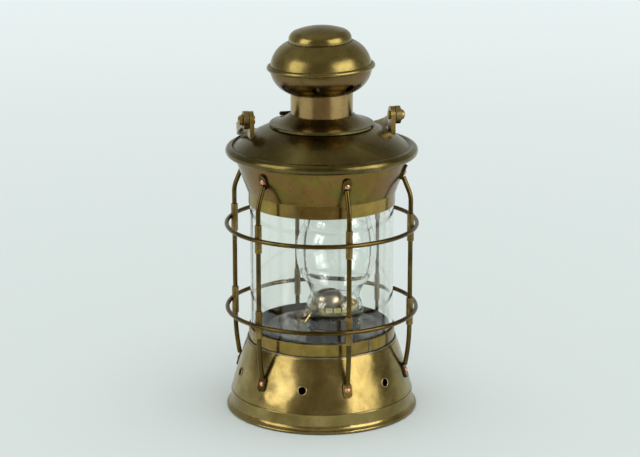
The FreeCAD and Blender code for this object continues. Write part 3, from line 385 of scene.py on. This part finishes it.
def cotton():
    s = Shader("wick_cotton")
    across = s.noise(1.0, 2.0, 0.5, s.place(stretch=(2600, 2600, 900)))
    weave = s.node("ShaderNodeTexWave", wave_type="BANDS", bands_direction="Z")
    s.put(weave.inputs["Vector"], s.object_place)
    weave.inputs["Scale"].default_value = 260.0
    weave.inputs["Distortion"].default_value = 1.5
    height = s.node("ShaderNodeSeparateXYZ")
    s.put(height.inputs[0], s.object_place)
    char = s.spread(height.outputs["Z"], 0.0775, 0.0805, smooth=True)
    colour = s.ramp(across, [(0.3, (0.42, 0.37, 0.28)), (0.7, (0.68, 0.62, 0.50))])
    colour = s.mix(char, colour, (0.03, 0.025, 0.02))
    normal = s.bump(weave.outputs["Fac"], 0.5, 0.25 * MM)
    return s.finish(colour, 0.9, normal)


MATERIALS["wick_cotton"] = cotton()

NODE_SLOT = {part["node"]: part["material_slot"] for part in frame["record"]["subparts"]}


def dress(obj, material):
    obj.data.materials.clear()
    obj.data.materials.append(material)


for node_name, node_object in NODES.items():
    dress(node_object, MATERIALS[NODE_SLOT[node_name]])
dress(NODES["cap_bowl"], MATERIALS["brass_bowl"])
dress(NODES["neck_tube"], MATERIALS["brass_neck"])

for name in ("globe_glass", "lamp_chimney"):
    NODES[name].visible_shadow = False

# ---------------------------------------------------------------- pieces in mesh code


def new_piece(name, bm, material, body):
    mesh = bpy.data.meshes.new(name)
    bmesh.ops.recalc_face_normals(bm, faces=bm.faces)
    bm.to_mesh(mesh)
    bm.free()
    mesh.shade_smooth()
    piece = bpy.data.objects.new(name, mesh)
    SCENE.collection.objects.link(piece)
    mesh.materials.append(material)
    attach(piece, body)
    return piece


def tube_round(bm, points, radii, closed=True):
    """A round bead through points; each has its own radius."""
    count = len(points)
    loops = []
    for index, point in enumerate(points):
        ahead = points[(index + 1) % count] if closed or index + 1 < count else point
        behind = points[index - 1] if closed or index > 0 else point
        run = (ahead - behind).normalized()
        side = run.cross(UP)
        if side.length < 1e-6:
            side = run.cross(RIGHT)
        side.normalize()
        top = side.cross(run)
        loops.append([bm.verts.new(point + radii[index] * (
            side * math.cos(turn) + top * math.sin(turn)))
            for turn in (2 * math.pi * k / BEAD_SIDES for k in range(BEAD_SIDES))])
    for index in range(count if closed else count - 1):
        one, two = loops[index], loops[(index + 1) % count]
        for k in range(BEAD_SIDES):
            after = (k + 1) % BEAD_SIDES
            bm.faces.new((one[k], one[after], two[after], two[k]))
    if not closed:
        bm.faces.new(loops[0])
        bm.faces.new(loops[-1])


def skirt_wall(skirt, height, turn):
    """How far from the axis the skirt's outer face is, or None where a hole is."""
    out = Vector((math.cos(turn), math.sin(turn), 0))
    hit = skirt.ray_cast(out * 0.2 + UP * height, -out)[0]
    return None if hit is None or hit.dot(out) < 0 else hit.dot(out)


def hole_edge(skirt, inside, outside):
    """The height, between one in the first air hole and one off it, where the hole ends."""
    for _ in range(40):
        half_way = (inside + outside) / 2
        if skirt_wall(skirt, half_way, 0) is None:
            inside = half_way
        else:
            outside = half_way
    return inside


def air_hole():
    """Height and radius of the air holes, the wall's place there and its lean."""
    node = NODES["base_skirt"]
    corners = [node.matrix_world @ vertex.co for vertex in node.data.vertices]
    skirt = BVHTree.FromPolygons(corners, [tuple(face.vertices) for face in node.data.polygons])
    step = (SKIRT_TOP - SKIRT_LOW) / 100
    open_at = [SKIRT_LOW + step * k for k in range(10, 91)
               if skirt_wall(skirt, SKIRT_LOW + step * k, 0) is None]
    low = hole_edge(skirt, open_at[0], open_at[0] - step)
    high = hole_edge(skirt, open_at[-1], open_at[-1] + step)
    height = (low + high) / 2
    between = math.pi / AIR_HOLES
    span = 10 * MM
    below = skirt_wall(skirt, height - span, between)
    above = skirt_wall(skirt, height + span, between)
    lean = math.atan((below - above) / (2 * span))
    return height, (high - low) / 2, skirt_wall(skirt, height, between), lean


def punched_rims():
    """The lip that the punch raised round each air hole."""
    height, radius, wall, lean = air_hole()
    bm = bmesh.new()
    for number in range(AIR_HOLES):
        angle = math.radians(360 / AIR_HOLES * number)
        out = Vector((math.cos(angle), math.sin(angle), 0))
        normal = out * math.cos(lean) + UP * math.sin(lean)
        across = Vector((-out.y, out.x, 0))
        climb = normal.cross(across)
        centre = out * (wall + LIP_PAST_WALL) + UP * height
        points = []
        radii = []
        for step in range(LIP_STEPS):
            turn = 2 * math.pi * step / LIP_STEPS
            wobble = 0.03 * noise.noise(Vector((step * 0.4, number, 0)))
            wide = (radius + LIP_PAST_HOLE) * (1 + wobble)
            points.append(centre + (across * math.cos(turn) + climb * math.sin(turn)) * wide)
            uneven = 0.10 * MM * noise.noise(Vector((step * 0.5, number, 3)))
            radii.append(LIP_WIRE + uneven)
        tube_round(bm, points, radii)
    return new_piece("air_hole_rims", bm, MATERIALS["air_rim"], "lantern")


def skirt_solder():
    """The uneven bead of solder where the collar stands on the skirt."""
    bm = bmesh.new()
    points = []
    radii = []
    for step in range(SOLDER_STEPS):
        turn = 2 * math.pi * step / SOLDER_STEPS
        here = Vector((math.cos(turn) * 3, math.sin(turn) * 3, 1.0))
        points.append(Vector((SKIRT_SOLDER_RADIUS * math.cos(turn),
                              SKIRT_SOLDER_RADIUS * math.sin(turn),
                              SKIRT_SOLDER_HEIGHT + 0.25 * MM * noise.noise(here * 2))))
        radii.append(SKIRT_SOLDER_WIRE * (1 + 0.35 * noise.noise(here * 4)))
    tube_round(bm, points, radii)
    return new_piece("skirt_solder", bm, MATERIALS["solder"], "lantern")


def collar_seam():
    """The lower collar's soldered joint, a flat upright line to the right of the front."""
    turn = math.radians(SEAM_FROM_FRONT)
    out = RIGHT * math.sin(turn) - AHEAD * math.cos(turn)
    bm = bmesh.new()
    for shift in (-0.35, 0.35):
        side = out.cross(UP) * shift * MM
        points = []
        radii = []
        for k in range(SEAM_STEPS):
            up = SEAM_LOW + (SEAM_HIGH - SEAM_LOW) * k / (SEAM_STEPS - 1)
            points.append(out * SEAM_FROM_AXIS + side + UP * up)
            radii.append((0.42 + 0.08 * noise.noise(Vector((k * 0.7, shift, 0)))) * MM)
        tube_round(bm, points, radii, closed=False)
    return new_piece("collar_seam", bm, MATERIALS["solder"], "lantern")


def wick_cloth():
    """Woven flat wick: a thin strip with warp ribs, rounded edges and a charred, ragged top."""
    low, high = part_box("wick")
    middle = Vector(((low[0] + high[0]) / 2, (low[1] + high[1]) / 2, 0))
    turn = Matrix.Rotation(BURNER_TURN, 3, "Z")
    bm = bmesh.new()
    half, thick = WICK_HALF_WIDTH, WICK_HALF_THICKNESS
    loops = []
    for row in range(WICK_ROWS):
        part = row / (WICK_ROWS - 1)
        loop = []
        for k in range(WICK_AROUND):
            angle = 2 * math.pi * k / WICK_AROUND
            across = half * math.copysign(abs(math.cos(angle)) ** 0.35, math.cos(angle))
            deep = thick * math.copysign(abs(math.sin(angle)) ** 0.55, math.sin(angle))
            rib = 0.10 * MM * math.cos(across / half * WICK_RIBS * math.pi + row * math.pi)
            ragged = 0.45 * MM * noise.noise(Vector((across * 900, 4.0, 0)))
            ragged *= max(0, part - 0.9) * 10
            up = low[2] + (high[2] - WICK_TOP_ROOM - low[2]) * part + ragged
            sway = 0.15 * MM * noise.noise(Vector((0, 0, part * 6)))
            point = turn @ Vector((across, deep + math.copysign(rib, deep) + sway, 0)) + middle
            loop.append(bm.verts.new((point.x, point.y, up)))
        loops.append(loop)
    for one, two in zip(loops, loops[1:]):
        for k in range(WICK_AROUND):
            after = (k + 1) % WICK_AROUND
            bm.faces.new((one[k], one[after], two[after], two[k]))
    bm.faces.new(loops[0])
    bm.faces.new(loops[-1])
    cloth = new_piece("wick_cloth", bm, MATERIALS["wick_cotton"], "wick")
    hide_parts("wick")
    return cloth


def winder_bracket():
    """Bent brass plate that steadies the winder's shaft in front of its thumb wheel."""
    inward = -WINDER_ALONG
    across = UP.cross(inward).normalized()
    axes = Matrix((inward, across, inward.cross(across))).transposed().to_4x4()
    frame_here = Matrix.Translation(WINDER_AT) @ axes
    wheel = (middle("winder_wheel") - WINDER_AT).dot(WINDER_ALONG)
    plate = -(wheel - BRACKET_BEHIND_WHEEL) / MM
    bm = bmesh.new()
    outline = []
    for turn in range(BRACKET_STEPS):
        angle = 2 * math.pi * turn / BRACKET_STEPS
        wide = 4.7 * math.copysign(abs(math.cos(angle)) ** 0.5, math.cos(angle))
        tall = 5.2 * math.copysign(abs(math.sin(angle)) ** 0.5, math.sin(angle)) + 0.5
        outline.append((wide, tall,
                        BRACKET_HOLE * math.cos(angle), BRACKET_HOLE * math.sin(angle)))
    rings = []
    for out in (plate - BRACKET_HALF_PLATE, plate + BRACKET_HALF_PLATE):
        for pick in (0, 2):
            rings.append([bm.verts.new(frame_here @ (Vector((out, *row[pick:pick + 2])) * MM))
                          for row in outline])
    order = (rings[0], rings[2], rings[3], rings[1])
    for one, two in zip(order, order[1:] + order[:1]):
        for k in range(BRACKET_STEPS):
            after = (k + 1) % BRACKET_STEPS
            bm.faces.new((one[k], one[after], two[after], two[k]))
    for side in (-3.4, 3.4):
        tab = [(plate, side, 2.0), (plate + 1.4, side, 2.2), (plate + 3.4, side, 2.0)]
        points = [frame_here @ (Vector(point) * MM) for point in tab]
        tube_round(bm, points, [0.55 * MM] * len(tab), closed=False)
    return new_piece("winder_bracket", bm, MATERIALS["bracket"], "font")


# Painted highlight: the hole lips are a paler brass than the skirt they are punched from.
MATERIALS["air_rim"] = aged_metal(
    "air_rim", (0.211, 0.150, 0.056), (0.341, 0.258, 0.112), (0.465, 0.372, 0.205),
    rough=(0.16, 0.28), seed=21.0, patch=120.0)
MATERIALS["solder"] = aged_metal(
    "solder", (0.115, 0.104, 0.076), (0.216, 0.202, 0.152), (0.331, 0.317, 0.251),
    rough=(0.24, 0.42), seed=22.0, patch=150.0)
MATERIALS["bracket"] = aged_metal(
    "bracket", (0.26, 0.19, 0.07), (0.48, 0.37, 0.14), (0.68, 0.56, 0.27),
    rough=(0.20, 0.34), seed=23.0, patch=150.0)
punched_rims()
skirt_solder()
collar_seam()
wick_cloth()
winder_bracket()

# ---------------------------------------------------------------- studio


def sweep():
    """A pale table top, wide enough to be the ground of every view, with painted shade darkening
    it near the lantern.
    """
    bm = bmesh.new()
    bmesh.ops.create_circle(bm, cap_ends=True, segments=96, radius=6.0)
    mesh = bpy.data.meshes.new("studio_floor")
    bm.to_mesh(mesh)
    bm.free()
    floor = bpy.data.objects.new("studio_floor", mesh)
    floor.location.z = -0.15 * MM
    SCENE.collection.objects.link(floor)
    s = Shader("studio_floor")
    away = s.node("ShaderNodeVectorMath", operation="LENGTH")
    s.put(away.inputs[0], s.object_place)
    far = s.spread(away.outputs["Value"], 0.1, 2.2, smooth=True)
    # Painted shade: the floor's colour is darker near the lantern and pales towards 2.2 m out.
    colour = s.mix(far, (0.62, 0.68, 0.66), (0.80, 0.865, 0.855))
    s.finish(colour, 0.62, Specular_IOR_Level=0.0)
    mesh.materials.append(s.material)


def flag():
    """Dark cloth in front of the table, seen only by polished metal."""
    near, far, half = 0.42, 3.2, 0.40
    corners = [(-half, near), (half, near), (half + 1.3, far), (-half - 1.3, far)]
    mesh = bpy.data.meshes.new("studio_flag")
    points = [RIGHT * across - AHEAD * out + UP * 2 * MM for across, out in corners]
    mesh.from_pydata([tuple(p) for p in points], [], [(0, 1, 2, 3)])
    cloth = bpy.data.objects.new("studio_flag", mesh)
    SCENE.collection.objects.link(cloth)
    cloth.visible_camera = False
    cloth.visible_diffuse = False
    cloth.visible_transmission = False
    cloth.visible_shadow = False
    s = Shader("studio_flag")
    s.finish((0.23, 0.20, 0.165), 0.9)
    mesh.materials.append(s.material)


def softbox(name, azimuth, elevation, distance, width, height, radiance, **seen):
    """An area light that faces the lantern; azimuth is from the camera's side, to the right."""
    turn, rise = math.radians(azimuth), math.radians(elevation)
    away = (RIGHT * math.sin(turn) - AHEAD * math.cos(turn)) * math.cos(rise) + UP * math.sin(rise)
    data = bpy.data.lights.new(name, "AREA")
    data.shape = "RECTANGLE"
    data.size, data.size_y = width, height
    data.energy = radiance * math.pi * width * height
    data.color = seen.pop("colour", (1.0, 0.985, 0.95))
    light = bpy.data.objects.new(name, data)
    light.location = away * distance + UP * 0.13
    light.rotation_mode = "QUATERNION"
    light.rotation_quaternion = (-away).to_track_quat("-Z", "Y")
    SCENE.collection.objects.link(light)
    light.visible_camera = False
    for key, value in seen.items():
        setattr(light, "visible_" + key, value)
    return light


def air():
    """Pale ground everywhere for the eye; for polished metal, pale behind and dark in front."""
    world = bpy.data.worlds.new("studio_air")
    SCENE.world = world
    world.use_nodes = True
    tree = world.node_tree
    tree.nodes.clear()
    s = Shader.on(tree)
    output = s.node("ShaderNodeOutputWorld")
    ray = s.node("ShaderNodeTexCoord").outputs["Generated"]
    behind = s.node("ShaderNodeVectorMath", operation="DOT_PRODUCT")
    s.put(behind.inputs[0], ray)
    behind.inputs[1].default_value = AHEAD
    parts = s.node("ShaderNodeSeparateXYZ")
    s.put(parts.inputs[0], ray)
    back = s.spread(behind.outputs["Value"], 0.0, 0.9, smooth=True)
    low = s.spread(parts.outputs["Z"], 0.75, 0.25, smooth=True)
    high = s.spread(parts.outputs["Z"], 0.55, 0.95, smooth=True)
    room = s.mix(high, (0.235, 0.22, 0.18), (0.44, 0.43, 0.38))
    seen = s.mix(s.maths("MULTIPLY", back, low), room, (0.56, 0.59, 0.57))
    mirrored = s.node("ShaderNodeLightPath").outputs["Is Glossy Ray"]
    colour = s.mix(mirrored, (0.99, 1.0, 1.01), seen)
    background = s.node("ShaderNodeBackground")
    s.put(background.inputs["Color"], colour)
    s.tree.links.new(background.outputs[0], output.inputs["Surface"])


sweep()
flag()
air()
softbox("box_left", -60, 22, 1.25, 0.75, 0.95, 2.9, diffuse=False)
softbox("box_right", 56, 21, 1.25, 1.0, 0.95, 3.6, diffuse=False)
glass_only = bpy.data.collections.new("glints")
for name in ("lamp_chimney", "globe_glass"):
    glass_only.objects.link(NODES[name])
for side in (-58, 58):
    glint = softbox("glint%+d" % side, side, 24, 1.2, 0.52, 0.62, 6.5, diffuse=False)
    glint.light_linking.receiver_collection = glass_only
softbox("overhead", 25, 74, 1.9, 1.5, 1.5, 1.1, glossy=False)

camera = bpy.data.objects.new("camera", bpy.data.cameras.new("camera"))
SCENE.collection.objects.link(camera)
camera.data.lens = 118.05
camera.data.sensor_width = 36.0
camera.data.clip_start = 0.05
camera.location = -AHEAD * 1.4021 - RIGHT * 1.19 * MM + UP * 0.50395
PITCH = math.radians(15.05)
look = AHEAD * math.cos(PITCH) - UP * math.sin(PITCH)
camera.rotation_mode = "QUATERNION"
camera.rotation_quaternion = look.to_track_quat("-Z", "Y")
SCENE.camera = camera
SCENE.view_settings.view_transform = "Standard"
